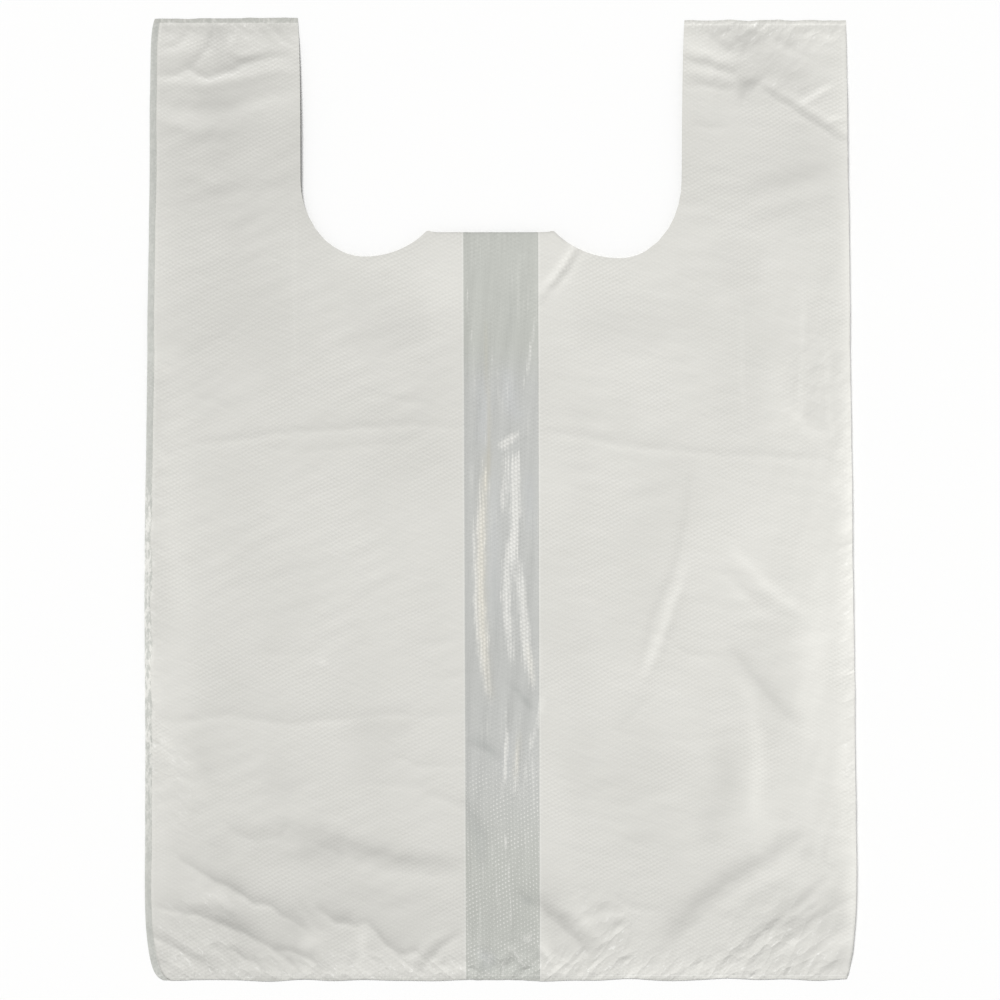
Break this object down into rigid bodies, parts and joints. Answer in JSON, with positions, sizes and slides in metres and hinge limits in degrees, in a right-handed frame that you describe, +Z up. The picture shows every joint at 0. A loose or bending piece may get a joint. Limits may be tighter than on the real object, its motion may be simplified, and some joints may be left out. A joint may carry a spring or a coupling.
{
  "type": "plastic carrier bag",
  "caption": "Flat folded film carrier bag with side gussets, loop handles and a punched mouth, for carrying light shopping.",
  "frame": {"origin": "centre of the bag's bounding box, on the surface that its back lies on", "axes": "+Y from the sealed foot to the handle tops, +Z up from the surface through the front panel, +X to the right across the front panel"},
  "size_m": [0.303, 0.409, 0.0018],
  "materials": {
    "film": "milky micro-embossed polyethylene film, satin"
  },
  "bodies": {
    "root": {"carrier_bag": "film"}
  },
  "joints": []
}
